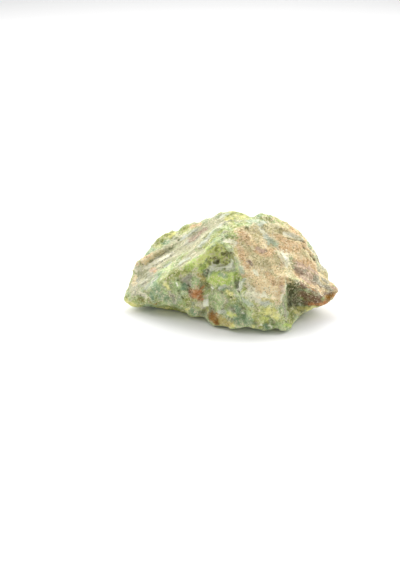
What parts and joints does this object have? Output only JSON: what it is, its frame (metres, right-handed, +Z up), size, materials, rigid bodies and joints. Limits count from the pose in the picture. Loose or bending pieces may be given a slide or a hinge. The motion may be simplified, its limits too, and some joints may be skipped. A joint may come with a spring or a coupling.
{
  "type": "rough opal",
  "caption": "Rough green opal, a hand-size broken stone with a pale layered slope, a tan crusted face, a hollow and a pointed spur, lying on a flat sole.",
  "frame": {"origin": "on the resting plane, under the middle of the stone's box", "axes": "+X along the stone's length to the tip of the spur, +Y to the back, +Z up"},
  "size_m": [0.0684, 0.0362, 0.0301],
  "materials": {
    "green_opal": "rough broken opal, apple to sage green and milky, waxy on fresh chips, with a dull tan and rust granular crust, cream specks and dark pits"
  },
  "bodies": {
    "root": {"opal_stone": "green_opal"}
  },
  "joints": []
}
